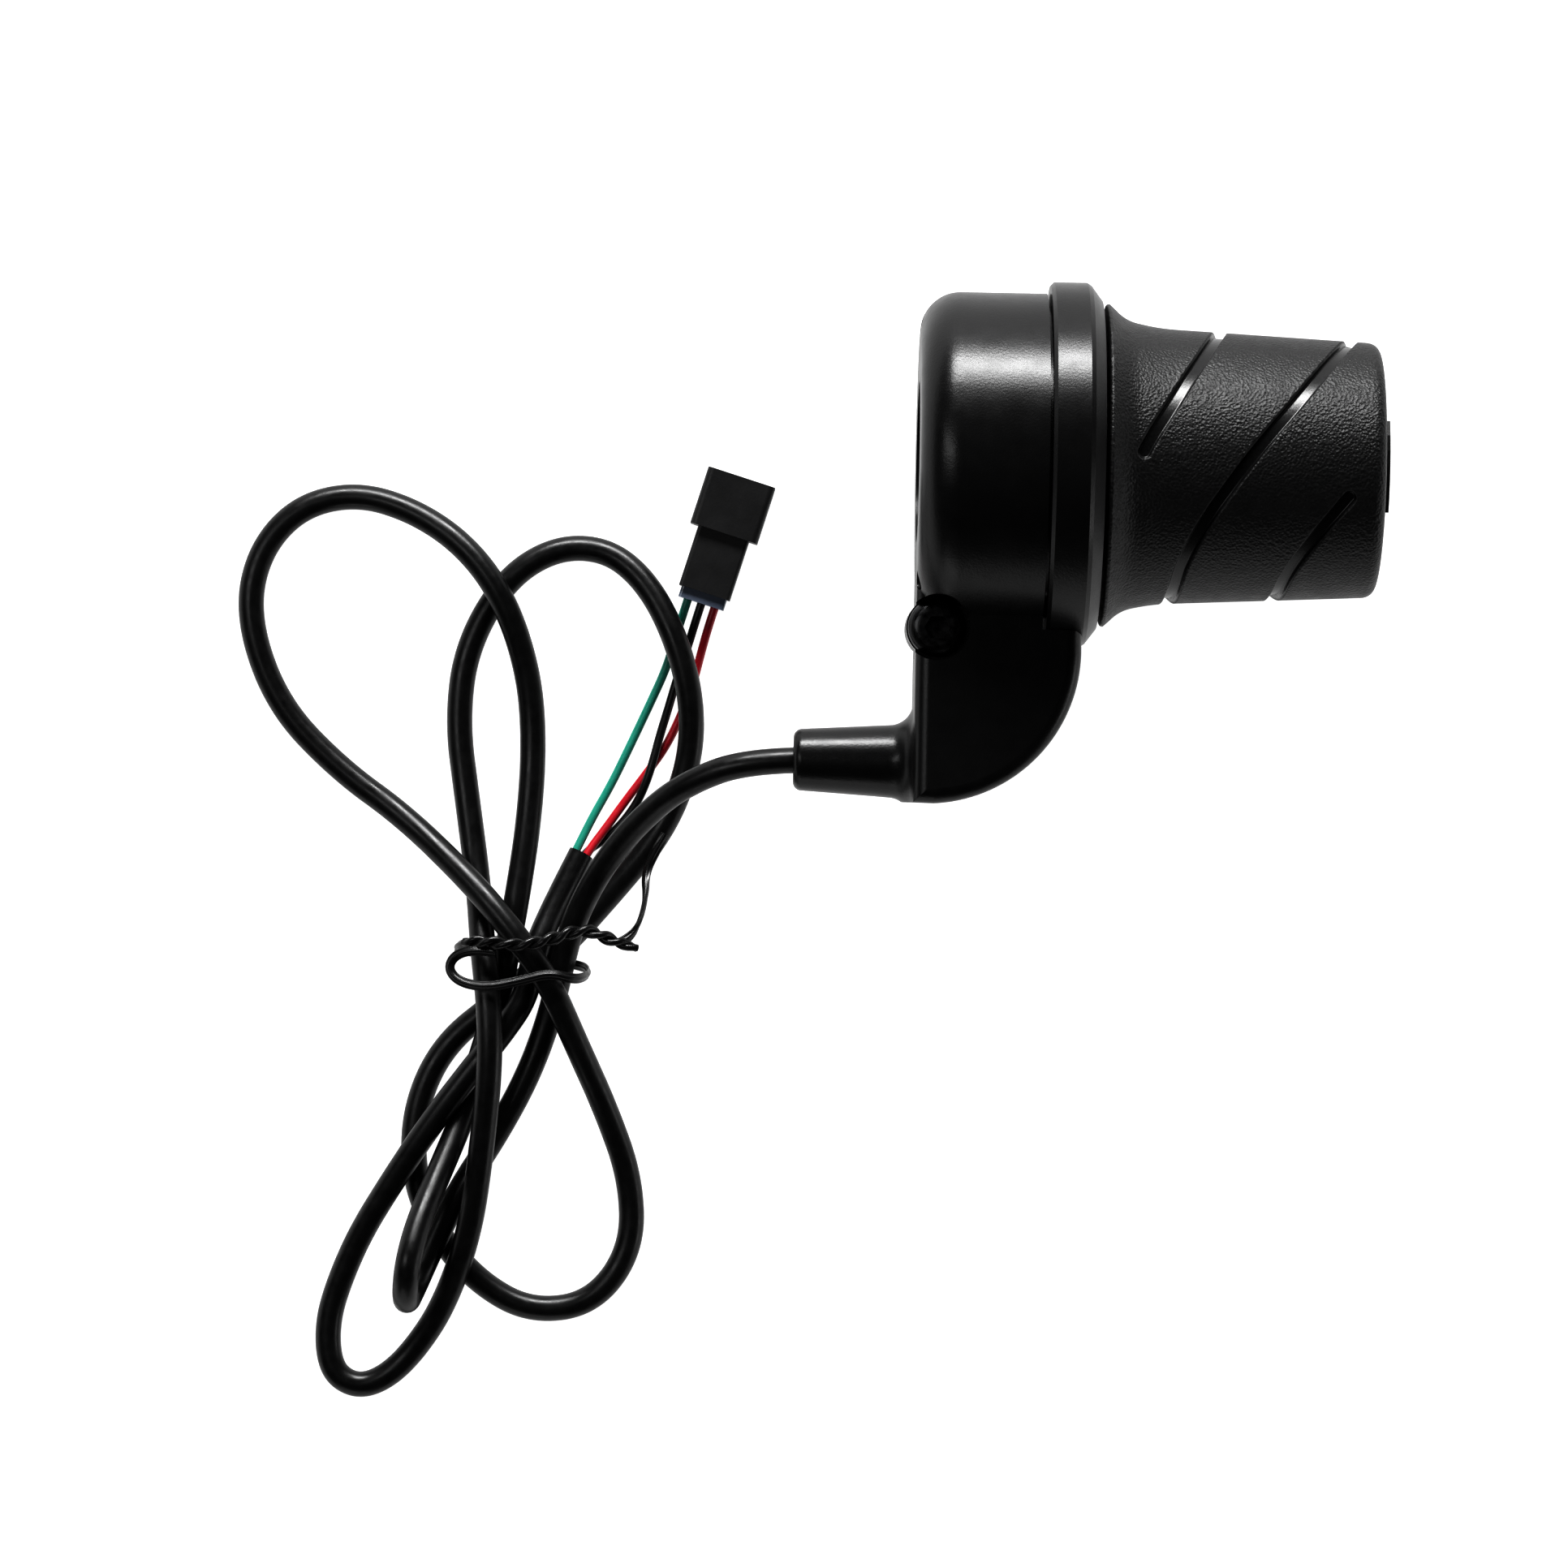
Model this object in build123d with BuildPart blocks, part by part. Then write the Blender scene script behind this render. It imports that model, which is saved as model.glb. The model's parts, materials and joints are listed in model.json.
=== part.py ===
# Right-hand half-grip twist throttle with a tied cable and a 3-pin connector.
# Units are millimetres and +Z is up. +X runs along the handlebar towards its free end.
# The origin is on the bar axis at the housing's outer face.
import os

from build123d import *

os.makedirs("parts", exist_ok=True)

# handlebar and housing
bore_r = 11.15
shell_r = 23.5
shell_wall = 2.2
shell_len = 17.3
collar_r = 15.2
collar_len = 9.0
floor_z = -25.1

# cover ring
ring_r = 25.1
ring_x0 = 17.75
ring_x1 = 23.4
lip_x1 = 24.9
lip_r = 22.7

# arm with cable boot
arm_half = 10.2
arm_y1 = -47.0
edge_cx = 1.6
edge_cy = -26.0
edge_r = 21.1
edge_low = -86.5
rim_r = 2.0
strip_half = 8.2
strip_t = 1.0
boot_y = -41.4
boot_x1 = -16.4
boot_root_r = 5.0
boot_tip_r = 4.2
flare_r = 8.0

# clamp screw, along Z
clamp_x = 2.9
clamp_y = -23.0
lug_r = 4.2
lug_top = 7.4
slit_w = 1.4

# rotor and grip
sleeve_in = 11.4
sleeve_out = 13.4
cover_bore = 13.46
flange_x = 10.2
flange_r = 17.0
sleeve_end = 64.0
grip_x0 = 25.4
grip_x1 = 63.4
stop_r = 18.9
spring_r = 15.2
spring_leg_r = 0.4

# cover screws
case_pcd_r = 19.8
case_angles = (5.0, 150.0, 265.0)

# cable, wires and connector
cable_d = 3.6
wire_d = 1.2
tie_d = 0.9
con_x = -26.8
con_y = -9.6
con_angle = 73.0


def sector(r1, r2, a1, a2):
    """Points of a ring sector, angles in degrees from local X."""
    inner = [Vector(r1, 0).rotate(Axis.Z, a1 + (a2 - a1) * i / 6) for i in range(7)]
    outer = [Vector(r2, 0).rotate(Axis.Z, a2 - (a2 - a1) * i / 6) for i in range(7)]
    return inner + outer


def edge_point(radius, angle):
    """Point on a circle round the centre of the arm's curved edge, angle in degrees."""
    away = Vector(radius, 0).rotate(Axis.Z, angle)
    return (edge_cx + away.X, edge_cy + away.Y)


def edge_band(r1, r2, a1, a2):
    """Outline of a band along the arm's curved edge; needs an open BuildLine."""
    ThreePointArc(edge_point(r1, a1), edge_point(r1, (a1 + a2) / 2), edge_point(r1, a2))
    Line(edge_point(r1, a2), edge_point(r2, a2))
    ThreePointArc(edge_point(r2, a2), edge_point(r2, (a1 + a2) / 2), edge_point(r2, a1))
    Line(edge_point(r2, a1), edge_point(r1, a1))


def show_radii(name, points, radii):
    """Prints the arc radii of a cord's path."""
    print(name, "points", len(points), "radii", [round(r, 1) for r in radii])


def arc_radii(points):
    """Radius at each inner point: 0.45 of the shorter run over tan of half the turn."""
    radii = []
    for a, b, c in zip(points, points[1:], points[2:]):
        run_in = Vector(b) - Vector(a)
        run_out = Vector(c) - Vector(b)
        half_turn = run_in.get_angle(run_out) / 2
        shorter = min(run_in.length, run_out.length)
        radii.append(0.45 * shorter / tan_deg(half_turn))
    return radii


def tan_deg(angle):
    """Tangent of an angle in degrees."""
    unit = Vector(1, 0).rotate(Axis.Z, angle)
    return unit.Y / unit.X


def make_main_housing():
    """Left housing: domed shell, bar collar, arm, clamp lug and cable boot, moulded in one."""
    with BuildPart() as housing:
        # arm, seen along the bar's top
        with BuildSketch(Plane.XY.offset(-arm_half)):
            with BuildLine():
                Polyline(edge_point(edge_r, 3), (edge_cx + edge_r, -21.0), (17.3, -21.0),
                          (17.3, -8), (0, -8))
                Polyline((0, -8), (0, arm_y1), edge_point(edge_r, edge_low))
                ThreePointArc(
                    edge_point(edge_r, edge_low),
                    edge_point(edge_r, -40),
                    edge_point(edge_r, 3),
                )
            make_face()
        extrude(amount=2 * arm_half)
        rim = housing.faces().filter_by(Axis.Z).edges().filter_by(lambda e: e.center().Y < -24)
        fillet(rim, radius=rim_r)
        # recess for the edge strip
        with BuildSketch(Plane.XY.offset(-strip_half - 0.05)):
            with BuildLine():
                edge_band(edge_r - strip_t - 0.05, edge_r + 2, -82.2, 8)
            make_face()
        extrude(amount=2 * strip_half + 0.1, mode=Mode.SUBTRACT)
        # drum with a rounded outer edge
        with BuildSketch(Plane.XY):
            with BuildLine():
                Polyline((0, 0), (0, shell_r - 5.5))
                RadiusArc((0, shell_r - 5.5), (5.5, shell_r), 5.5)
                Polyline((5.5, shell_r), (shell_len, shell_r), (shell_len, 0), (0, 0))
            make_face()
        revolve(axis=Axis.X)
        # the arm stands clear of the cover ring
        with BuildSketch(Plane.YZ.offset(shell_len)):
            Circle(ring_r + 0.06)
        extrude(amount=10, mode=Mode.SUBTRACT)
        # clamp lug
        with BuildSketch(Plane.XY.offset(-8.4)):
            with Locations((clamp_x, clamp_y)):
                Circle(lug_r)
        extrude(amount=lug_top + 8.4)
        # cable boot, flared where it leaves the arm
        with BuildSketch(Plane.XY):
            with BuildLine():
                Polyline((-3.3, boot_y + boot_root_r), (boot_x1, boot_y + boot_tip_r), (boot_x1, boot_y))
                Polyline((boot_x1, boot_y), (0, boot_y), (0, boot_y + flare_r))
                RadiusArc((0, boot_y + flare_r), (-3.3, boot_y + boot_root_r), 3.3)
            make_face()
        revolve(axis=Axis((0, boot_y, 0), (1, 0, 0)))
        with Locations((-3.0, arm_y1 - 3.0, 0)):
            Box(6.0, 6.0, 20, mode=Mode.SUBTRACT)
        fillet(housing.edges().group_by(Axis.X)[0], radius=1.2)
        # cavity of the drum, with the collar left standing
        with BuildSketch(Plane.YZ.offset(3.0)):
            Circle(shell_r - shell_wall)
            Circle(collar_r, mode=Mode.SUBTRACT)
        extrude(amount=30, mode=Mode.SUBTRACT)
        with BuildSketch(Plane.YZ.offset(collar_len)):
            Circle(collar_r + 0.5)
        extrude(amount=30, mode=Mode.SUBTRACT)
        with BuildSketch(Plane.YZ.offset(-5)):
            Circle(bore_r)
        extrude(amount=30, mode=Mode.SUBTRACT)
        # screw posts and the two travel stops
        with BuildSketch(Plane.YZ.offset(2.5)):
            with PolarLocations(case_pcd_r, 1, start_angle=case_angles[0]):
                Circle(2.4)
            with PolarLocations(case_pcd_r, 1, start_angle=case_angles[1]):
                Circle(2.4)
            with PolarLocations(case_pcd_r, 1, start_angle=case_angles[2]):
                Circle(2.4)
        extrude(amount=shell_len - 2.5)
        with BuildSketch(Plane.YZ.offset(9.9)):
            Polygon(*sector(17.4, 22.0, 19, 29), align=None)
            Polygon(*sector(17.4, 22.0, 115, 125), align=None)
        extrude(amount=3.0)
        # room in the arm for the leads
        with BuildSketch(Plane.XY.offset(-6.5)):
            with BuildLine():
                Polyline((8.2, -20.6), (8.2, -29.0), (3.0, -32.0), (3.0, -44.0), (7.0, -43.6), close=False)
                Polyline((7.0, -43.6), (13.2, -38.6), (17.4, -31.0), (16.4, -20.6), (8.2, -20.6))
            make_face()
        extrude(amount=13, mode=Mode.SUBTRACT)
        # cable hole
        with BuildSketch(Plane.YZ.offset(boot_x1 - 1)):
            with Locations((boot_y, 0)):
                Circle(cable_d / 2 + 0.05)
        extrude(amount=4.2 - boot_x1, mode=Mode.SUBTRACT)
        # clamp slit, from the bore out past the screw
        with BuildSketch(Plane.XY.offset(-slit_w / 2)):
            with Locations((1.4, -18.6)):
                Rectangle(11.4, 17.2)
        extrude(amount=slit_w, mode=Mode.SUBTRACT)
        # screw hole and nut pocket
        with BuildSketch(Plane.XY.offset(-12)):
            with Locations((clamp_x, clamp_y)):
                Circle(2.1)
        extrude(amount=24, mode=Mode.SUBTRACT)
        with BuildSketch(Plane.XY.offset(-12)):
            with Locations((clamp_x, clamp_y)):
                Circle(4.5)
        extrude(amount=5.2, mode=Mode.SUBTRACT)
        with BuildSketch(Plane.XY.offset(lug_top)):
            with Locations((clamp_x, clamp_y)):
                Circle(lug_r + 0.3)
        extrude(amount=10, mode=Mode.SUBTRACT)
        # holes for the cover screws, heads sunk in the outer face
        with BuildSketch(Plane.YZ.offset(-1)):
            with PolarLocations(case_pcd_r - 0.6, 1, start_angle=case_angles[0]):
                Circle(1.3)
            with PolarLocations(case_pcd_r - 0.6, 1, start_angle=case_angles[1]):
                Circle(1.3)
            with PolarLocations(case_pcd_r - 0.6, 1, start_angle=case_angles[2]):
                Circle(1.3)
        extrude(amount=30, mode=Mode.SUBTRACT)
    housing.part.label = "main_housing"
    export_step(housing.part, "parts/main_housing.step")
    return housing.part


def make_outer_cover():
    """Cover ring with its conical lip and the spigot that centres it in the housing."""
    with BuildPart() as cover:
        with BuildSketch(Plane.XY):
            with BuildLine():
                Polyline(
                    (15.4, 20.0),
                    (15.4, 21.2),
                    (ring_x0, 21.2),
                    (ring_x0, ring_r - 0.5),
                    (ring_x0 + 0.5, ring_r),
                    (ring_x1 - 0.6, ring_r),
                    (ring_x1, ring_r - 0.4),
                    (lip_x1, lip_r),
                    (lip_x1, cover_bore),
                    (22.0, cover_bore),
                    (22.0, 20.0),
                    (15.4, 20.0),
                )
            make_face()
        revolve(axis=Axis.X)
        # bosses that the screws bite into
        with BuildSketch(Plane.YZ.offset(17.5)):
            with PolarLocations(case_pcd_r - 0.6, 1, start_angle=case_angles[0]):
                Circle(2.3)
            with PolarLocations(case_pcd_r - 0.6, 1, start_angle=case_angles[1]):
                Circle(2.3)
            with PolarLocations(case_pcd_r - 0.6, 1, start_angle=case_angles[2]):
                Circle(2.3)
        extrude(amount=5)
        # the spigot is cut away round the posts and over the arm
        with BuildSketch(Plane.YZ.offset(15.0)):
            with PolarLocations(case_pcd_r, 1, start_angle=case_angles[0]):
                Circle(2.7)
            with PolarLocations(case_pcd_r, 1, start_angle=case_angles[1]):
                Circle(2.7)
            with PolarLocations(case_pcd_r, 1, start_angle=case_angles[2]):
                Circle(2.7)
            with Locations((-21, 0)):
                Rectangle(8, 15)
        extrude(amount=2.4, mode=Mode.SUBTRACT)
        with BuildSketch(Plane.YZ.offset(15.0)):
            with PolarLocations(case_pcd_r - 0.6, 1, start_angle=case_angles[0]):
                Circle(1.02)
            with PolarLocations(case_pcd_r - 0.6, 1, start_angle=case_angles[1]):
                Circle(1.02)
            with PolarLocations(case_pcd_r - 0.6, 1, start_angle=case_angles[2]):
                Circle(1.02)
        extrude(amount=7.5, mode=Mode.SUBTRACT)
        # seat of the spring's foot
        with BuildSketch(Plane.YZ.offset(21.9)):
            with PolarLocations(spring_r, 1, start_angle=90):
                Circle(0.6)
        extrude(amount=1.2, mode=Mode.SUBTRACT)
    cover.part.label = "outer_cover"
    export_step(cover.part, "parts/outer_cover.step")
    return cover.part


def make_arm_cover():
    """Curved strip that closes the arm along its right and lower edge."""
    with BuildPart() as strip:
        with BuildSketch(Plane.XY.offset(-strip_half)):
            with BuildLine():
                edge_band(edge_r - strip_t, edge_r, -82, 2)
            make_face()
        extrude(amount=2 * strip_half)
    strip.part.label = "arm_cover"
    export_step(strip.part, "parts/arm_cover.step")
    return strip.part


def make_clamp_screw():
    """M4 button-head screw with a 3 mm hexagon socket, its head on the lug."""
    with BuildPart() as screw:
        with BuildSketch(Plane.XY.offset(lug_top)):
            with Locations((clamp_x, clamp_y)):
                Circle(4.0)
        extrude(amount=2.1)
        fillet(screw.edges().group_by(Axis.Z)[-1], radius=1.6)
        with BuildSketch(Plane.XY.offset(lug_top + 0.5)):
            with Locations((clamp_x, clamp_y)):
                RegularPolygon(radius=1.5, side_count=6, major_radius=False)
        extrude(amount=4, mode=Mode.SUBTRACT)
        with BuildSketch(Plane.XY.offset(-9.2)):
            with Locations((clamp_x, clamp_y)):
                Circle(2.0)
        extrude(amount=lug_top + 9.2)
    screw.part.label = "clamp_screw"
    export_step(screw.part, "parts/clamp_screw.step")
    return screw.part


def make_clamp_nut():
    """M4 hexagon nut in the round pocket under the lug."""
    with BuildPart() as nut:
        with BuildSketch(Plane.XY.offset(-10.0)):
            with Locations((clamp_x, clamp_y)):
                RegularPolygon(radius=3.5, side_count=6, major_radius=False)
                Circle(2.0, mode=Mode.SUBTRACT)
        extrude(amount=3.2)
    nut.part.label = "clamp_nut"
    export_step(nut.part, "parts/clamp_nut.step")
    return nut.part


def make_cover_screws():
    """Three self-tapping screws, run in from the outer face into the cover ring."""
    with BuildPart() as screws:
        with BuildSketch(Plane.YZ.offset(5.6)):
            with PolarLocations(case_pcd_r - 0.6, 1, start_angle=case_angles[0]):
                Circle(1.0)
            with PolarLocations(case_pcd_r - 0.6, 1, start_angle=case_angles[1]):
                Circle(1.0)
            with PolarLocations(case_pcd_r - 0.6, 1, start_angle=case_angles[2]):
                Circle(1.0)
        extrude(amount=16.4)
    screws.part.label = "cover_screws"
    export_step(screws.part, "parts/cover_screws.step")
    return screws.part


def make_rotor_sleeve():
    """Tube that turns on the bar, with its flange, stop lug and end tabs."""
    with BuildPart() as rotor:
        with BuildSketch(Plane.YZ.offset(flange_x)):
            Circle(sleeve_out)
        extrude(amount=sleeve_end - 0.9 - flange_x)
        with BuildSketch(Plane.YZ.offset(flange_x)):
            Circle(flange_r)
        extrude(amount=2.0)
        with BuildSketch(Plane.YZ.offset(flange_x)):
            Polygon(*sector(16.0, stop_r, 30, 44), align=None)
        extrude(amount=2.0)
        # end tabs that lock the rubber
        with BuildSketch(Plane.YZ.offset(sleeve_end - 1.2)):
            Polygon(*sector(12.0, sleeve_out - 0.1, 62, 118), align=None)
            Polygon(*sector(12.0, sleeve_out - 0.1, 182, 238), align=None)
            Polygon(*sector(12.0, sleeve_out - 0.1, 302, 358), align=None)
        extrude(amount=1.2)
        with BuildSketch(Plane.YZ.offset(flange_x - 1)):
            Circle(sleeve_in)
        extrude(amount=60, mode=Mode.SUBTRACT)
        # seat of the spring's leg
        with BuildSketch(Plane.YZ.offset(flange_x + 0.8)):
            with PolarLocations(spring_r, 1, start_angle=90):
                Circle(0.75)
        extrude(amount=3, mode=Mode.SUBTRACT)
    rotor.part.label = "rotor_sleeve"
    export_step(rotor.part, "parts/rotor_sleeve.step")
    return rotor.part


def make_grip_rubber():
    """Flared rubber grip with three spiral grooves."""
    with BuildPart() as grip:
        with BuildSketch(Plane.XY):
            with BuildLine():
                Line((grip_x0, sleeve_out), (grip_x0, 22.0))
                Line((grip_x0, 22.0), (grip_x0 + 0.5, 22.3))
                FilletPolyline((grip_x0 + 0.5, 22.3), (28.2, 20.0), (33.0, 19.0),
                                (61.4, 17.6), radius=(6, 30))
                RadiusArc((61.4, 17.6), (grip_x1, 15.6), 2.0)
                Line((grip_x1, 15.6), (grip_x1, sleeve_out))
                Line((grip_x1, sleeve_out), (grip_x0, sleeve_out))
            make_face()
        revolve(axis=Axis.X)
    grip.part.label = "grip_rubber"
    export_step(grip.part, "parts/grip_rubber.step")
    return grip.part


def make_magnet(name, a1, a2):
    """Arc magnet on the rotor's flange."""
    with BuildPart() as magnet:
        with BuildSketch(Plane.YZ.offset(flange_x + 2.0)):
            Polygon(*sector(13.9, 16.6, a1, a2), align=None)
        extrude(amount=3.0)
    magnet.part.label = name
    export_step(magnet.part, "parts/" + name + ".step")
    return magnet.part


def make_return_spring():
    """Torsion spring round the sleeve, one leg in the flange and one in the cover."""
    with BuildPart() as spring:
        with BuildLine() as coil:
            Helix(pitch=1.5, height=4.5, radius=spring_r, center=(16.0, 0, 0), direction=(1, 0, 0))
        with BuildSketch(Plane(coil.line @ 0, z_dir=coil.line % 0)):
            Circle(0.5)
        sweep()
        leg = coil.line @ 0
        with BuildSketch(Plane.YZ.offset(leg.X - 4.8)):
            with Locations((leg.Y, leg.Z)):
                Circle(spring_leg_r)
        extrude(amount=5.1)
        foot = coil.line @ 1
        with BuildSketch(Plane.YZ.offset(foot.X - 0.3)):
            with Locations((foot.Y, foot.Z)):
                Circle(spring_leg_r)
        extrude(amount=2.4)
    spring.part.label = "return_spring"
    export_step(spring.part, "parts/return_spring.step")
    return spring.part


def make_hall_sensor():
    """Hall sensor that faces the magnets."""
    with BuildPart() as sensor:
        with BuildSketch(Plane.XZ.offset(17.3)):
            with Locations((13.7, 0)):
                Rectangle(3.0, 4.0)
        extrude(amount=1.4)
    sensor.part.label = "hall_sensor"
    export_step(sensor.part, "parts/hall_sensor.step")
    return sensor.part


def make_sensor_board():
    """Small board that carries the hall sensor."""
    with BuildPart() as board:
        with BuildSketch(Plane.XZ.offset(18.7)):
            with Locations((13.2, 0)):
                Rectangle(6.0, 11.0)
        extrude(amount=1.0)
    board.part.label = "sensor_board"
    export_step(board.part, "parts/sensor_board.step")
    return board.part


def make_lead(name, z):
    """Inner lead from the cable's end to the board."""
    with BuildPart() as lead:
        with BuildLine() as route:
            FilletPolyline(
                (-11.6, boot_y, z),
                (5.2, -41.2, z),
                (10.6, -37.4, z),
                (12.4, -30.0, z),
                (13.0, -19.75, z),
                radius=3,
            )
        with BuildSketch(Plane(route.line @ 0, z_dir=route.line % 0)):
            Circle(0.5)
        sweep()
    lead.part.label = name
    export_step(lead.part, "parts/" + name + ".step")
    return lead.part


def make_connector_housing():
    """Hooded 3-way connector body that lies on the surface."""
    with BuildPart() as body:
        with BuildSketch(con_plane):
            with Locations((0, 3.1)):
                RectangleRounded(9.9, 6.2, 0.9)
        extrude(amount=8.3)
        with BuildSketch(con_plane.offset(-8.8)):
            with Locations((0, 2.85)):
                RectangleRounded(7.5, 5.0, 0.5)
        extrude(amount=8.8)
        # hood, open to the front
        with BuildSketch(con_plane.offset(1.4)):
            with Locations((0, 3.1)):
                RectangleRounded(8.1, 4.4, 0.4)
        extrude(amount=8, mode=Mode.SUBTRACT)
        # three contact channels through the rear
        with BuildSketch(con_plane.offset(-9)):
            with Locations((-2.0, 2.5), (0, 2.5), (2.0, 2.5)):
                Circle(0.7)
        extrude(amount=12, mode=Mode.SUBTRACT)
    body.part.label = "connector_housing"
    export_step(body.part, "parts/connector_housing.step")
    return body.part


def make_connector_retainer():
    """Slim retainer across the connector's wire end."""
    with BuildPart() as retainer:
        with BuildSketch(con_plane.offset(-10.4)):
            with Locations((0, 2.7)):
                RectangleRounded(6.7, 4.2, 0.4)
            with Locations((-2.0, 2.5), (0, 2.5), (2.0, 2.5)):
                Circle(0.7, mode=Mode.SUBTRACT)
        extrude(amount=1.6)
    retainer.part.label = "connector_retainer"
    export_step(retainer.part, "parts/connector_retainer.step")
    return retainer.part


def make_connector_pins():
    """Three round contacts."""
    with BuildPart() as pins:
        with BuildSketch(con_plane.offset(-7.0)):
            with Locations((-2.0, 2.5), (0, 2.5), (2.0, 2.5)):
                Circle(0.5)
        extrude(amount=13.5)
    pins.part.label = "connector_pins"
    export_step(pins.part, "parts/connector_pins.step")
    return pins.part


def make_cord(name, points, diameter):
    """Cord of straight runs and tangent arcs."""
    radii = arc_radii(points)
    show_radii(name, points, radii)
    with BuildPart() as cord:
        with BuildLine() as route:
            FilletPolyline(*points, radius=radii)
        with BuildSketch(Plane(route.line @ 0, z_dir=route.line % 0)):
            Circle(diameter / 2)
        sweep()
    length = route.wires()[0].length
    section = 3.14159265 * diameter * diameter / 4
    print(name, "length", round(length, 1), "volume ratio", round(cord.part.volume / section / length, 4))
    cord.part.label = name
    export_step(cord.part, "parts/" + name + ".step")
    return cord.part


def make_twist_tie():
    """Coated wire tie: a band round the bundle, a twisted stem and a loose tail."""
    with BuildPart() as tie:
        with BuildLine() as band:
            FilletPolyline(*tie_band, radius=arc_radii(tie_band))
        with BuildSketch(Plane(band.line @ 0, z_dir=band.line % 0)):
            Circle(tie_d / 2)
        sweep()
        with BuildLine() as tail:
            FilletPolyline(*tie_tail, radius=arc_radii(tie_tail))
        with BuildSketch(Plane(tail.line @ 0, z_dir=tail.line % 0)):
            Circle(tie_d / 2)
        sweep()
    tie.part.label = "twist_tie"
    export_step(tie.part, "parts/twist_tie.step")
    return tie.part


con_plane = Plane(
    origin=(con_x, con_y, floor_z),
    x_dir=Vector(0, 1, 0).rotate(Axis.Z, con_angle),
    z_dir=Vector(1, 0, 0).rotate(Axis.Z, con_angle),
)

cable_route = [
    (-11.6, -41.4, 0.0),
    (-22.0, -41.4, 0.0),
    (-31.4, -45.0, -3.2),
    (-37.8, -50.4, -8.7),
    (-43.0, -57.0, -13.2),
    (-46.8, -64.5, -16.1),
    (-48.5, -71.5, -17.8),
    (-50.0, -78.5, -18.9),
    (-53.0, -87.0, -19.2),
    (-57.5, -95.5, -19.3),
    (-62.0, -102.5, -19.2),
    (-65.3, -109.5, -19.3),
    (-67.2, -114.0, -19.4),
    (-68.6, -117.4, -17.4),
    (-69.1, -118.5, -13.3),
    (-69.1, -116.6, -9.6),
    (-68.7, -112.6, -7.8),
    (-67.6, -107.5, -10.4),
    (-65.0, -100.5, -15.0),
    (-61.7, -92.0, -19.8),
    (-59.5, -83.5, -21.2),
    (-57.2, -76.5, -19.0),
    (-56.2, -69.5, -18.2),
    (-55.0, -62.5, -18.3),
    (-53.5, -51.0, -20.7),
    (-53.0, -39.5, -21.7),
    (-54.0, -29.5, -21.1),
    (-57.5, -19.5, -19.2),
    (-63.0, -12.2, -20.0),
    (-70.5, -7.2, -22.0),
    (-79.0, -4.8, -23.2),
    (-87.3, -7.0, -23.3),
    (-92.8, -13.8, -23.3),
    (-94.0, -23.0, -23.3),
    (-89.5, -35.0, -23.3),
    (-80.5, -44.0, -22.9),
    (-71.0, -50.5, -21.6),
    (-61.3, -59.3, -15.8),
    (-56.0, -65.2, -13.2),
    (-50.0, -73.0, -13.4),
    (-46.0, -82.0, -16.0),
    (-42.0, -90.8, -20.3),
    (-38.2, -101.0, -23.1),
    (-37.8, -111.0, -23.3),
    (-43.2, -118.8, -23.3),
    (-52.0, -120.2, -23.3),
    (-59.5, -116.2, -23.3),
    (-65.5, -109.5, -23.2),
    (-69.0, -101.5, -23.3),
    (-69.0, -91.5, -23.3),
    (-65.0, -82.5, -23.2),
    (-57.0, -76.0, -22.9),
    (-48.5, -68.5, -21.8),
    (-42.0, -61.0, -23.1),
    (-34.7, -52.0, -23.3),
    (-31.0, -42.5, -22.4),
    (-30.7, -33.5, -20.6),
    (-33.4, -24.0, -20.4),
    (-37.7, -16.4, -21.9),
    (-43.4, -12.0, -23.2),
    (-50.8, -12.0, -23.3),
    (-57.8, -16.8, -23.3),
    (-63.0, -26.5, -23.3),
    (-64.0, -37.0, -23.3),
    (-62.4, -47.5, -22.7),
    (-60.4, -60.0, -20.4),
    (-59.4, -69.0, -15.2),
    (-58.2, -77.0, -12.6),
    (-58.0, -86.0, -12.5),
    (-59.0, -97.0, -14.5),
    (-60.6, -109.0, -17.3),
    (-64.2, -119.4, -21.6),
    (-68.4, -126.0, -23.2),
    (-72.2, -129.8, -23.3),
    (-76.0, -131.3, -23.3),
    (-79.3, -129.8, -23.3),
    (-80.6, -126.5, -23.3),
    (-80.6, -121.5, -23.2),
    (-79.0, -116.0, -22.7),
    (-76.2, -109.4, -21.5),
    (-72.0, -102.3, -19.6),
    (-66.5, -93.7, -17.6),
    (-60.5, -85.6, -16.5),
    (-56.3, -80.2, -16.3),
    (-53.2, -75.3, -17.3),
    (-52.3, -69.0, -18.9),
    (-49.4, -62.0, -21.7),
    (-46.1, -55.2, -23.1),
]

green_route = [
    (-46.5, -54.1, -22.6),
    (-44.6, -50.0, -23.7),
    (-42.0, -45.2, -24.4),
    (-39.6, -40.0, -24.5),
    (-36.9, -34.0, -24.5),
    (-34.7, -29.0, -24.4),
    (-33.6, -25.2, -24.0),
    (-32.5, -21.5, -22.6),
    (-31.3, -17.6, -22.6),
]

red_route = [
    (-45.2, -55.0, -22.6),
    (-42.6, -51.4, -23.7),
    (-40.0, -47.6, -24.4),
    (-37.2, -43.8, -24.5),
    (-34.4, -39.8, -24.5),
    (-32.3, -35.2, -24.5),
    (-30.7, -30.6, -24.5),
    (-29.7, -26.4, -24.1),
    (-28.7, -22.6, -22.6),
    (-27.5, -18.8, -22.6),
]

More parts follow.
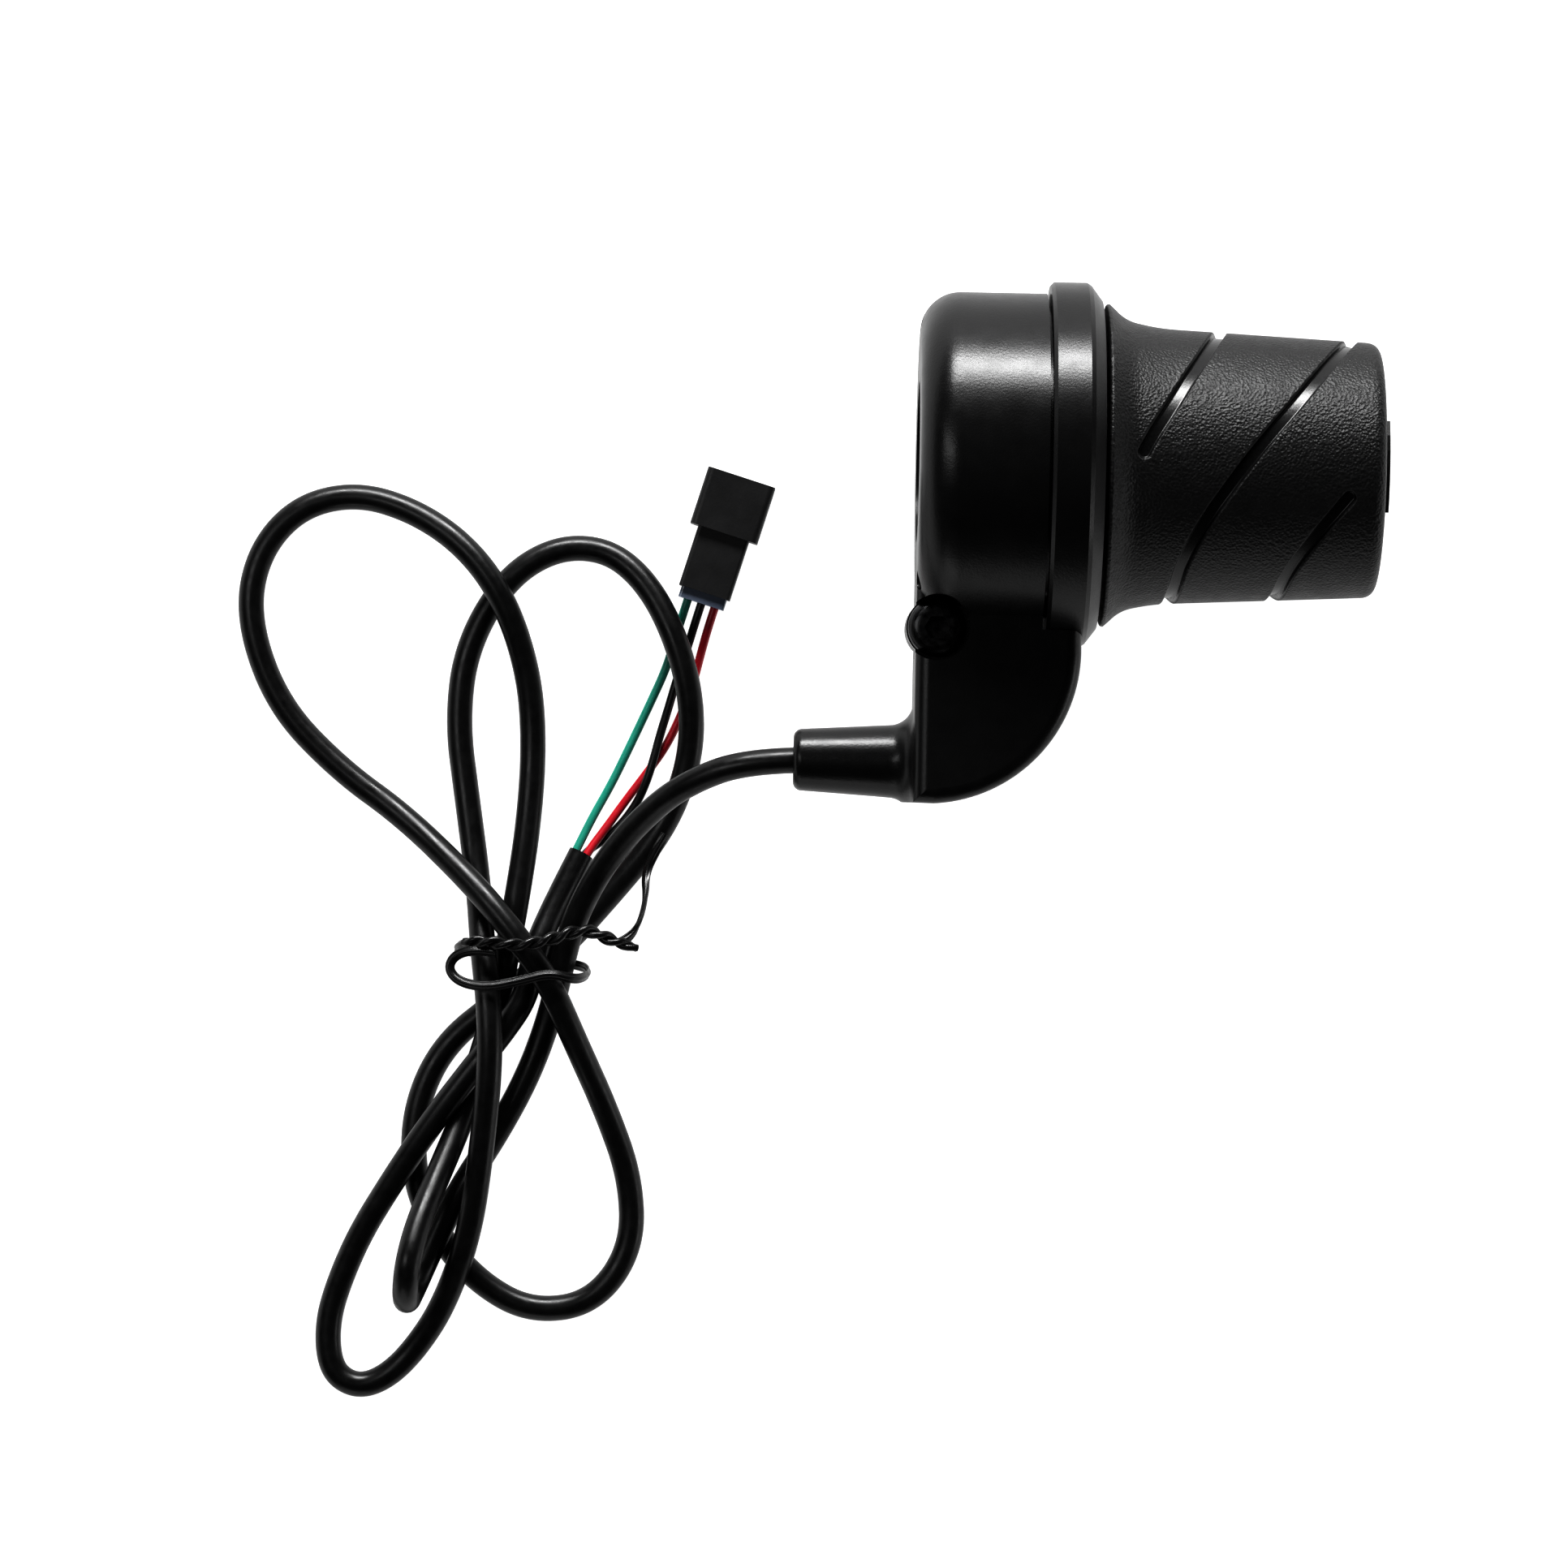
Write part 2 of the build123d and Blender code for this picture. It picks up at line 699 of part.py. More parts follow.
black_route = [
    (-45.6, -55.0, -24.0),
    (-42.9, -53.2, -24.4),
    (-40.3, -50.7, -24.4),
    (-38.3, -47.8, -23.9),
    (-37.0, -44.7, -23.1),
    (-36.1, -41.6, -23.0),
    (-35.3, -38.2, -23.5),
    (-34.2, -34.4, -24.2),
    (-32.9, -29.6, -24.4),
    (-31.6, -25.6, -23.9),
    (-30.5, -21.8, -22.6),
    (-29.4, -18.2, -22.6),
]

tie_band = [
    (-57.4, -69.1, -10.6),
    (-60.4, -68.7, -10.8),
    (-63.2, -69.6, -11.6),
    (-64.1, -71.6, -12.0),
    (-62.4, -73.4, -11.4),
    (-58.6, -74.0, -10.5),
    (-54.0, -73.0, -10.5),
    (-49.8, -71.8, -10.6),
    (-46.4, -72.7, -11.6),
    (-44.9, -72.4, -14.6),
    (-44.5, -71.8, -19.4),
    (-45.4, -71.2, -23.4),
    (-49.0, -70.6, -24.6),
    (-54.6, -70.2, -24.6),
    (-60.0, -69.6, -24.4),
    (-62.8, -69.2, -21.6),
    (-63.4, -68.6, -16.6),
    (-62.0, -67.8, -12.4),
    (-58.4, -67.6, -10.3),
    (-54.2, -68.2, -10.0),
    (-49.8, -67.2, -10.0),
    (-45.0, -65.4, -10.6),
    (-41.2, -67.2, -11.8),
    (-37.7, -68.2, -12.6),
]

tie_tail = [
    (-40.2, -67.5, -12.0),
    (-38.6, -66.7, -12.4),
    (-37.3, -64.2, -14.6),
    (-36.7, -61.0, -17.8),
    (-36.9, -57.8, -20.2),
    (-35.7, -54.8, -20.6),
    (-34.2, -52.2, -20.6),
]

parts = [
    make_main_housing(),
    make_outer_cover(),
    make_arm_cover(),
    make_clamp_screw(),
    make_clamp_nut(),
    make_cover_screws(),
    make_rotor_sleeve(),
    make_grip_rubber(),
    make_magnet("magnet_rest", 166, 194),
    make_magnet("magnet_full", 96, 124),
    make_return_spring(),
    make_hall_sensor(),
    make_sensor_board(),
    make_lead("lead_green", 1.2),
    make_lead("lead_red", 0.0),
    make_lead("lead_black", -1.2),
    make_connector_housing(),
    make_connector_retainer(),
    make_connector_pins(),
    make_cord("throttle_cable", cable_route, cable_d),
    make_cord("wire_green", green_route, wire_d),
    make_cord("wire_red", red_route, wire_d),
    make_cord("wire_black", black_route, wire_d),
    make_twist_tie(),
]

for p in parts:
    print(p.label, round(p.volume, 1), len(p.solids()), p.is_valid)
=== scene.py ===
import json
import math

import bpy
import numpy as np
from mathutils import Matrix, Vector


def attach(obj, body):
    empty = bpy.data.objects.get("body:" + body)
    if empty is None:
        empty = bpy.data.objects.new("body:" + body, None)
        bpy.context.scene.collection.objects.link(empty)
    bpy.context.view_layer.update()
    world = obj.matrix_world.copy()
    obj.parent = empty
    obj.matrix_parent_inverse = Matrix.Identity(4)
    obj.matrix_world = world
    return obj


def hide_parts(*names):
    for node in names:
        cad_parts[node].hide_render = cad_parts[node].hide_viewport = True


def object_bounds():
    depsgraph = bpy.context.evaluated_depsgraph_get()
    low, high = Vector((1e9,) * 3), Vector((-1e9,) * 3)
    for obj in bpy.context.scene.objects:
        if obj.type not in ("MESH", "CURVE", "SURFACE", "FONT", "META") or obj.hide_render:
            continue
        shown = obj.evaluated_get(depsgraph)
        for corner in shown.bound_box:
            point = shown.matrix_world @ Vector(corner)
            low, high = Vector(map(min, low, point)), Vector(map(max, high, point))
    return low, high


MM = 0.001
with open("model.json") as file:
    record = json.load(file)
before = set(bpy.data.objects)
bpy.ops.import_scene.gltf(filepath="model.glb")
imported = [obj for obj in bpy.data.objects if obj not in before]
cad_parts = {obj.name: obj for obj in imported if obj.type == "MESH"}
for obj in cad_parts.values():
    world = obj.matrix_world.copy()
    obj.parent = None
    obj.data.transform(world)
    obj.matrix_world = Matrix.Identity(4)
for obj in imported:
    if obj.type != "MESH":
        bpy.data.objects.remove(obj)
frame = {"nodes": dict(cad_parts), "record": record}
cad_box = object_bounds()
nodes = frame["nodes"]
FLOOR_Z = cad_box[0].z
scene = bpy.context.scene
STATIC = "housing"
ROTOR = "twist_grip"


# ---------------------------------------------------------------- camera
VIEW_TURN = math.radians(1.12)
VIEW_X = -0.0176
VIEW_Y = -0.0448
CAMERA_HEIGHT = 0.900
FRAME_WIDTH = 0.2164
SENSOR = 36.0

camera_data = bpy.data.cameras.new("camera")
camera_data.sensor_width = SENSOR
camera_data.lens = SENSOR * CAMERA_HEIGHT / FRAME_WIDTH
camera_data.clip_end = 10.0
camera = bpy.data.objects.new("camera", camera_data)
camera.location = (VIEW_X, VIEW_Y, CAMERA_HEIGHT)
camera.rotation_euler = (0.0, 0.0, VIEW_TURN)
scene.collection.objects.link(camera)
scene.camera = camera


# ---------------------------------------------------------------- cords
CABLE_D = 0.0036
WIRE_D = 0.0012
ROOT_DEPTH = 0.0016

# The cable, from the boot to the cut end of its sheath.
CABLE_ROUTE = [
    (-0.0116, -0.0414, 0.0000),
    (-0.0220, -0.0414, 0.0000),
    (-0.0314, -0.0450, -0.0032),
    (-0.0378, -0.0504, -0.0087),
    (-0.0430, -0.0570, -0.0132),
    (-0.0468, -0.0645, -0.0161),
    (-0.0485, -0.0715, -0.0178),
    (-0.0500, -0.0785, -0.0189),
    (-0.0530, -0.0870, -0.0192),
    (-0.0575, -0.0955, -0.0193),
    (-0.0620, -0.1025, -0.0192),
    (-0.0653, -0.1095, -0.0193),
    (-0.0672, -0.1140, -0.0194),
    (-0.0686, -0.1174, -0.0174),
    (-0.0691, -0.1185, -0.0133),
    (-0.0691, -0.1166, -0.0096),
    (-0.0687, -0.1126, -0.0078),
    (-0.0676, -0.1075, -0.0104),
    (-0.0650, -0.1005, -0.0150),
    (-0.0617, -0.0920, -0.0198),
    (-0.0595, -0.0835, -0.0212),
    (-0.0572, -0.0765, -0.0190),
    (-0.0562, -0.0695, -0.0182),
    (-0.0550, -0.0625, -0.0183),
    (-0.0535, -0.0510, -0.0207),
    (-0.0530, -0.0395, -0.0217),
    (-0.0540, -0.0295, -0.0211),
    (-0.0575, -0.0195, -0.0192),
    (-0.0630, -0.0122, -0.0200),
    (-0.0705, -0.0072, -0.0220),
    (-0.0790, -0.0048, -0.0232),
    (-0.0873, -0.0070, -0.0233),
    (-0.0928, -0.0138, -0.0233),
    (-0.0940, -0.0230, -0.0233),
    (-0.0895, -0.0350, -0.0233),
    (-0.0805, -0.0440, -0.0229),
    (-0.0710, -0.0505, -0.0216),
    (-0.0613, -0.0593, -0.0158),
    (-0.0560, -0.0652, -0.0132),
    (-0.0500, -0.0730, -0.0134),
    (-0.0460, -0.0820, -0.0160),
    (-0.0420, -0.0908, -0.0203),
    (-0.0382, -0.1010, -0.0231),
    (-0.0378, -0.1110, -0.0233),
    (-0.0432, -0.1188, -0.0233),
    (-0.0520, -0.1202, -0.0233),
    (-0.0595, -0.1162, -0.0233),
    (-0.0655, -0.1095, -0.0232),
    (-0.0690, -0.1015, -0.0233),
    (-0.0690, -0.0915, -0.0233),
    (-0.0650, -0.0825, -0.0232),
    (-0.0570, -0.0760, -0.0229),
    (-0.0485, -0.0685, -0.0218),
    (-0.0420, -0.0610, -0.0231),
    (-0.0347, -0.0520, -0.0233),
    (-0.0310, -0.0425, -0.0224),
    (-0.0307, -0.0335, -0.0206),
    (-0.0334, -0.0240, -0.0204),
    (-0.0377, -0.0164, -0.0219),
    (-0.0434, -0.0120, -0.0232),
    (-0.0508, -0.0120, -0.0233),
    (-0.0578, -0.0168, -0.0233),
    (-0.0630, -0.0265, -0.0233),
    (-0.0640, -0.0370, -0.0233),
    (-0.0624, -0.0475, -0.0227),
    (-0.0604, -0.0600, -0.0204),
    (-0.0594, -0.0690, -0.0152),
    (-0.0582, -0.0770, -0.0126),
    (-0.0580, -0.0860, -0.0125),
    (-0.0590, -0.0970, -0.0145),
    (-0.0606, -0.1090, -0.0173),
    (-0.0642, -0.1194, -0.0216),
    (-0.0684, -0.1260, -0.0232),
    (-0.0722, -0.1298, -0.0233),
    (-0.0760, -0.1313, -0.0233),
    (-0.0793, -0.1298, -0.0233),
    (-0.0806, -0.1265, -0.0233),
    (-0.0806, -0.1215, -0.0232),
    (-0.0790, -0.1160, -0.0227),
    (-0.0762, -0.1094, -0.0215),
    (-0.0720, -0.1023, -0.0196),
    (-0.0665, -0.0937, -0.0176),
    (-0.0605, -0.0856, -0.0165),
    (-0.0563, -0.0802, -0.0163),
    (-0.0532, -0.0753, -0.0173),
    (-0.0523, -0.0690, -0.0189),
    (-0.0494, -0.0620, -0.0217),
    (-0.0461, -0.0552, -0.0231),
]

# The three wires, from the sheath to the connector.
GREEN_ROUTE = [
    (-0.0465, -0.0541, -0.0226),
    (-0.0446, -0.0500, -0.0237),
    (-0.0420, -0.0452, -0.0244),
    (-0.0396, -0.0400, -0.0245),
    (-0.0369, -0.0340, -0.0245),
    (-0.0347, -0.0290, -0.0244),
    (-0.0336, -0.0252, -0.0240),
    (-0.0325, -0.0215, -0.0226),
    (-0.0313, -0.0176, -0.0226),
]

RED_ROUTE = [
    (-0.0452, -0.0550, -0.0226),
    (-0.0426, -0.0514, -0.0237),
    (-0.0400, -0.0476, -0.0244),
    (-0.0372, -0.0438, -0.0245),
    (-0.0344, -0.0398, -0.0245),
    (-0.0323, -0.0352, -0.0245),
    (-0.0307, -0.0306, -0.0245),
    (-0.0297, -0.0264, -0.0241),
    (-0.0287, -0.0226, -0.0226),
    (-0.0275, -0.0188, -0.0226),
]

BLACK_ROUTE = [
    (-0.0456, -0.0550, -0.0240),
    (-0.0429, -0.0532, -0.0244),
    (-0.0403, -0.0507, -0.0244),
    (-0.0383, -0.0478, -0.0239),
    (-0.0370, -0.0447, -0.0231),
    (-0.0361, -0.0416, -0.0230),
    (-0.0353, -0.0382, -0.0235),
    (-0.0342, -0.0344, -0.0242),
    (-0.0329, -0.0296, -0.0244),
    (-0.0316, -0.0256, -0.0239),
    (-0.0305, -0.0218, -0.0226),
    (-0.0294, -0.0182, -0.0226),
]

# The wire tie: twice round the bundle, then the stem; the tail leaves the stem.
TIE_BAND = [
    (-0.0574, -0.0691, -0.0106),
    (-0.0604, -0.0687, -0.0108),
    (-0.0632, -0.0696, -0.0116),
    (-0.0641, -0.0716, -0.0120),
    (-0.0624, -0.0734, -0.0114),
    (-0.0586, -0.0740, -0.0105),
    (-0.0540, -0.0730, -0.0105),
    (-0.0498, -0.0718, -0.0106),
    (-0.0464, -0.0727, -0.0116),
    (-0.0449, -0.0724, -0.0146),
    (-0.0445, -0.0718, -0.0194),
    (-0.0454, -0.0712, -0.0234),
    (-0.0490, -0.0706, -0.0246),
    (-0.0546, -0.0702, -0.0246),
    (-0.0600, -0.0696, -0.0244),
    (-0.0628, -0.0692, -0.0216),
    (-0.0634, -0.0686, -0.0166),
    (-0.0620, -0.0678, -0.0124),
    (-0.0584, -0.0676, -0.0103),
    (-0.0542, -0.0682, -0.0100),
    (-0.0498, -0.0672, -0.0100),
    (-0.0450, -0.0654, -0.0106),
    (-0.0412, -0.0672, -0.0118),
    (-0.0377, -0.0682, -0.0126),
]

TIE_TAIL = [
    (-0.0402, -0.0675, -0.0120),
    (-0.0386, -0.0667, -0.0124),
    (-0.0373, -0.0642, -0.0146),
    (-0.0367, -0.0610, -0.0178),
    (-0.0369, -0.0578, -0.0202),
    (-0.0357, -0.0548, -0.0206),
    (-0.0342, -0.0522, -0.0206),
]


def link(obj):
    scene.collection.objects.link(obj)
    return obj


def nurbs(name, points, radius, resolution=24):
    """Open NURBS curve of order 3 with a round bevel."""
    data = bpy.data.curves.new(name, "CURVE")
    data.dimensions = "3D"
    data.resolution_u = resolution
    data.bevel_depth = radius
    data.bevel_resolution = 8
    data.use_fill_caps = True
    spline = data.splines.new("NURBS")
    spline.points.add(len(points) - 1)
    for point, co in zip(spline.points, points):
        point.co = (*co, 1.0)
    spline.order_u = 3
    spline.use_endpoint_u = True
    return link(bpy.data.objects.new(name, data))


cable = nurbs("cable", CABLE_ROUTE, CABLE_D / 2, 12)
SHEATH_END = Vector(CABLE_ROUTE[-1])
SHEATH_RUN = (SHEATH_END - Vector(CABLE_ROUTE[-2])).normalized()


def rooted(route):
    """The route, begun a little way inside the sheath's cut end."""
    return [tuple(Vector(route[0]) - ROOT_DEPTH * SHEATH_RUN)] + route


teal_wire = nurbs("wire_teal", rooted(GREEN_ROUTE), WIRE_D / 2)
crimson_wire = nurbs("wire_crimson", rooted(RED_ROUTE), WIRE_D / 2)
dark_wire = nurbs("wire_dark", rooted(BLACK_ROUTE), WIRE_D / 2)


# ---------------------------------------------------------------- wire tie
def strip_profile(name, half_width, half_core, half_edge):
    """Closed outline of the wire tie: a round core between two thin flanges."""
    data = bpy.data.curves.new(name, "CURVE")
    data.dimensions = "2D"
    spline = data.splines.new("POLY")
    top = []
    for degrees in np.linspace(160, 20, 9):
        a = math.radians(degrees)
        top.append((half_core * math.cos(a), half_core * math.sin(a)))
    right = [(half_width, half_edge), (half_width + half_edge, 0.0), (half_width, -half_edge)]
    bottom = [(x, -y) for x, y in reversed(top)]
    left = [(-half_width, -half_edge), (-half_width - half_edge, 0.0), (-half_width, half_edge)]
    points = top + right + bottom + left
    spline.points.add(len(points) - 1)
    for point, (x, y) in zip(spline.points, points):
        point.co = (x, y, 0.0, 1.0)
    spline.use_cyclic_u = True
    return bpy.data.objects.new(name, data)


STRIP_HALF = 0.00058
STRIP_CORE = 0.00036
STRIP_EDGE = 0.00012
STRAND_R = 0.00050
STRAND_REACH = 0.00048
STRAND_PITCH = 0.0054
STRAND_POINTS = 90
BAND_END = 19
STEM_START = 17

tie_profile = strip_profile("tie_profile", STRIP_HALF, STRIP_CORE, STRIP_EDGE)


def strip(name, points, tilts):
    """Wire-tie strip along the points, turned at each by its tilt in degrees."""
    data = bpy.data.curves.new(name, "CURVE")
    data.dimensions = "3D"
    data.resolution_u = 24
    data.twist_mode = "MINIMUM"
    data.bevel_mode = "OBJECT"
    data.bevel_object = tie_profile
    data.use_fill_caps = True
    spline = data.splines.new("NURBS")
    spline.points.add(len(points) - 1)
    for point, co, tilt in zip(spline.points, points, tilts):
        point.co = (*co, 1.0)
        point.tilt = math.radians(tilt)
    spline.order_u = 3
    spline.use_endpoint_u = True
    return link(bpy.data.objects.new(name, data))


def smooth_line(points, count):
    """Even points of the quadratic spline that has these control points."""
    p = np.array(points, float)
    out = []
    for i in range(1, len(p) - 1):
        a = p[0] if i == 1 else (p[i - 1] + p[i]) / 2
        b = p[-1] if i == len(p) - 2 else (p[i] + p[i + 1]) / 2
        for t in np.linspace(0, 1, 40, endpoint=False):
            out.append((1 - t) ** 2 * a + 2 * t * (1 - t) * p[i] + t * t * b)
    out.append(p[-1])
    out = np.array(out)
    s = np.concatenate([[0], np.cumsum(np.linalg.norm(np.diff(out, axis=0), axis=1))])
    at = np.linspace(0, s[-1], count)
    return np.stack([np.interp(at, s, out[:, k]) for k in range(3)], axis=1), s[-1]


def twisted(name, points, phase):
    """One round strand that winds round the line through the points."""
    line, length = smooth_line(points, STRAND_POINTS)
    last = STRAND_POINTS - 1
    out = []
    for i, p in enumerate(line):
        d = line[min(i + 1, last)] - line[max(i - 1, 0)]
        d /= np.linalg.norm(d)
        side = np.cross(d, (0, 0, 1))
        side /= np.linalg.norm(side)
        up = np.cross(side, d)
        a = phase + 2 * math.pi * (i / last * length) / STRAND_PITCH
        grow = min(1.0, 0.2 + i / 8, 0.25 + (last - i) / 14)
        out.append(tuple(p + grow * STRAND_REACH * (math.cos(a) * side + math.sin(a) * up)))
    return nurbs(name, out, STRAND_R, 6)


band = strip("tie_band", TIE_BAND[:BAND_END], [0] * BAND_END)
stem_a = twisted("tie_stem_a", TIE_BAND[STEM_START:], 0.4)
stem_b = twisted("tie_stem_b", TIE_BAND[STEM_START:], 0.4 + math.pi)
tail = strip("tie_tail", TIE_TAIL, [0, 20, 60, 90, 120, 150, 170])
tie_parts = [band, stem_a, stem_b, tail]


# ---------------------------------------------------------------- materials
def material(name, base, rough, metallic=0.0, coat=0.0, ior=1.5):
    """New Principled material; returns it with its node tree and shader."""
    m = bpy.data.materials.new(name)
    m.use_nodes = True
    tree = m.node_tree
    shader = tree.nodes["Principled BSDF"]
    shader.inputs["Base Color"].default_value = (*base, 1.0)
    shader.inputs["Roughness"].default_value = rough
    shader.inputs["Metallic"].default_value = metallic
    shader.inputs["Coat Weight"].default_value = coat
    shader.inputs["IOR"].default_value = ior
    return m, tree, shader


def node(tree, kind, **values):
    n = tree.nodes.new(kind)
    for key, value in values.items():
        if hasattr(n, key):
            setattr(n, key, value)
        else:
            n.inputs[key.replace("_", " ")].default_value = value
    return n


def object_coords(tree):
    return tree.nodes.new("ShaderNodeTexCoord").outputs["Object"]


def noise(tree, coords, scale, detail=4.0, rough=0.55):
    n = node(tree, "ShaderNodeTexNoise", Scale=scale, Detail=detail, Roughness=rough)
    tree.links.new(coords, n.inputs["Vector"])
    return n.outputs["Fac"]


def ramp(tree, value, low, high, out_low, out_high):
    n = node(tree, "ShaderNodeMapRange")
    for i, v in zip((1, 2, 3, 4), (low, high, out_low, out_high)):
        n.inputs[i].default_value = v
    tree.links.new(value, n.inputs[0])
    return n.outputs[0]


def colour_mix(tree, value, low, high):
    n = node(tree, "ShaderNodeMix", data_type="RGBA")
    n.inputs[6].default_value = (*low, 1.0)
    n.inputs[7].default_value = (*high, 1.0)
    tree.links.new(value, n.inputs[0])
    return n.outputs[2]


def bump(tree, height, strength, distance, below=None):
    n = node(tree, "ShaderNodeBump", Strength=strength, Distance=distance)
    tree.links.new(height, n.inputs["Height"])
    if below is not None:
        tree.links.new(below, n.inputs["Normal"])
    return n.outputs["Normal"]


def plastic(name, dark, light, rough, spread, grain, strength, depth, coat=0.0):
    """Moulded plastic: mottled tone, uneven gloss and a fine spark texture."""
    m, tree, shader = material(name, light, rough, coat=coat)
    coords = object_coords(tree)
    broad = noise(tree, coords, 90.0, 5.0)
    tone = ramp(tree, broad, 0.3, 0.7, 0, 1)
    tree.links.new(colour_mix(tree, tone, dark, light), shader.inputs["Base Color"])
    speck = noise(tree, coords, 420.0, 4.0)
    gloss = ramp(tree, speck, 0.3, 0.7, rough - spread, rough + spread)
    tree.links.new(gloss, shader.inputs["Roughness"])
    fine = noise(tree, coords, grain, 2.0, 0.5)
    tree.links.new(bump(tree, fine, strength, depth), shader.inputs["Normal"])
    return m


def metal(name, dark, light, rough, scale, turned=False):
    """Worked metal with fine scratches."""
    m, tree, shader = material(name, light, rough, metallic=1.0)
    coords = object_coords(tree)
    stretch = node(tree, "ShaderNodeMapping")
    stretch.inputs["Scale"].default_value = (1.0, 1.0, 12.0) if turned else (12.0, 1.0, 1.0)
    tree.links.new(coords, stretch.inputs["Vector"])
    lines = noise(tree, stretch.outputs["Vector"], scale, 5.0)
    tone = ramp(tree, lines, 0.3, 0.7, 0, 1)
    tree.links.new(colour_mix(tree, tone, dark, light), shader.inputs["Base Color"])
    gloss = ramp(tree, lines, 0.3, 0.7, rough - 0.08, rough + 0.1)
    tree.links.new(gloss, shader.inputs["Roughness"])
    tree.links.new(bump(tree, lines, 0.15, 0.00002), shader.inputs["Normal"])
    return m


def rubber(name):
    """Grip rubber: leather-like grain that stops in the smooth grooves."""
    m, tree, shader = material(name, (0.006, 0.006, 0.0062), 0.5)
    coords = object_coords(tree)
    groove = node(tree, "ShaderNodeAttribute", attribute_name="groove").outputs["Fac"]
    cells = node(tree, "ShaderNodeTexVoronoi", Scale=2600.0, feature="SMOOTH_F1", Smoothness=0.35)
    tree.links.new(coords, cells.inputs["Vector"])
    wrinkle = noise(tree, coords, 4600.0, 4.0)
    height = node(tree, "ShaderNodeMath", operation="MULTIPLY_ADD")
    tree.links.new(wrinkle, height.inputs[0])
    height.inputs[1].default_value = 0.55
    tree.links.new(cells.outputs["Distance"], height.inputs[2])
    grain_on = ramp(tree, groove, 0.15, 0.6, 1.0, 0.06)
    level = node(tree, "ShaderNodeMath", operation="MULTIPLY")
    tree.links.new(height.outputs[0], level.inputs[0])
    tree.links.new(grain_on, level.inputs[1])
    tree.links.new(bump(tree, level.outputs[0], 0.9, 0.00011), shader.inputs["Normal"])
    tone = ramp(tree, cells.outputs["Distance"], 0.1, 0.7, 0.0, 1.0)
    shade = colour_mix(tree, tone, (0.004, 0.004, 0.0041), (0.010, 0.010, 0.0103))
    tree.links.new(shade, shader.inputs["Base Color"])
    dull = ramp(tree, noise(tree, coords, 500.0), 0.3, 0.7, 0.38, 0.46)
    shine = node(tree, "ShaderNodeMix", data_type="FLOAT")
    tree.links.new(ramp(tree, groove, 0.2, 0.7, 0.0, 1.0), shine.inputs[0])
    tree.links.new(dull, shine.inputs[2])
    shine.inputs[3].default_value = 0.26
    tree.links.new(shine.outputs[0], shader.inputs["Roughness"])
    return m


def jacket(name, dark, light, rough, grain=1800.0, depth=0.00002):
    """Extruded sheath: even colour with faint waviness and dulled patches."""
    m, tree, shader = material(name, light, rough)
    coords = object_coords(tree)
    tone = ramp(tree, noise(tree, coords, 160.0), 0.3, 0.7, 0, 1)
    tree.links.new(colour_mix(tree, tone, dark, light), shader.inputs["Base Color"])
    gloss = ramp(tree, noise(tree, coords, 700.0), 0.3, 0.7, rough - 0.06, rough + 0.08)
    tree.links.new(gloss, shader.inputs["Roughness"])
    wave = bump(tree, noise(tree, coords, 260.0, 2.0), 0.12, 0.0002)
    skin = bump(tree, noise(tree, coords, grain, 3.0), 0.35, depth, wave)
    tree.links.new(skin, shader.inputs["Normal"])
    return m


MATERIALS = {
    "housing_abs": plastic(
        "housing_abs", (0.004, 0.004, 0.0042), (0.007, 0.007, 0.0073),
        0.31, 0.025, 3200.0, 0.45, 0.00004,
    ),
    "black_steel": metal(
        "black_steel", (0.03, 0.03, 0.031), (0.09, 0.09, 0.092),
        0.3, 900.0, True,
    ),
    "zinc_steel": metal("zinc_steel", (0.42, 0.42, 0.4), (0.66, 0.66, 0.62), 0.32, 900.0, True),
    "spring_steel": metal("spring_steel", (0.22, 0.22, 0.23), (0.42, 0.42, 0.43), 0.3, 700.0),
    "chip_epoxy": plastic(
        "chip_epoxy", (0.012, 0.012, 0.013), (0.02, 0.02, 0.021),
        0.55, 0.05, 5200.0, 0.4, 0.00002,
    ),
    "board_green": plastic(
        "board_green", (0.012, 0.11, 0.04), (0.02, 0.19, 0.07),
        0.35, 0.06, 2600.0, 0.25, 0.00002,
    ),
    "wire_green": jacket("wire_green", (0.02, 0.27, 0.2), (0.035, 0.37, 0.28), 0.36),
    "wire_red": jacket("wire_red", (0.42, 0.012, 0.03), (0.58, 0.02, 0.04), 0.36),
    "wire_black": jacket("wire_black", (0.006, 0.006, 0.0065), (0.012, 0.012, 0.0125), 0.36),
    "cable_pvc": jacket("cable_pvc", (0.004, 0.004, 0.0042), (0.008, 0.008, 0.0083), 0.34),
    "connector_nylon": plastic(
        "connector_nylon", (0.014, 0.014, 0.0145), (0.024, 0.024, 0.0248),
        0.46, 0.06, 2600.0, 0.4, 0.00003,
    ),
    "retainer_grey": plastic(
        "retainer_grey", (0.09, 0.11, 0.15), (0.17, 0.2, 0.26),
        0.22, 0.04, 2200.0, 0.15, 0.00002, 0.3,
    ),
    "tinned_brass": metal("tinned_brass", (0.55, 0.53, 0.45), (0.78, 0.76, 0.68), 0.28, 1200.0),
    "tie_plastic": jacket(
        "tie_plastic", (0.004, 0.004, 0.0042), (0.010, 0.010, 0.0104),
        0.28, 2600.0, 0.00003,
    ),
    "sleeve_nylon": plastic(
        "sleeve_nylon", (0.006, 0.006, 0.0062), (0.012, 0.012, 0.0122),
        0.44, 0.06, 2400.0, 0.4, 0.00003,
    ),
    "grip_rubber": rubber("grip_rubber"),
    "magnet_ferrite": plastic(
        "magnet_ferrite", (0.05, 0.05, 0.055), (0.1, 0.1, 0.11),
        0.5, 0.08, 3200.0, 0.5, 0.00004,
    ),
}


def dress(obj, name):
    obj.data.materials.clear()
    obj.data.materials.append(MATERIALS[name])


for entry in frame["record"]["subparts"]:
    dress(nodes[entry["node"]], entry["material_slot"])


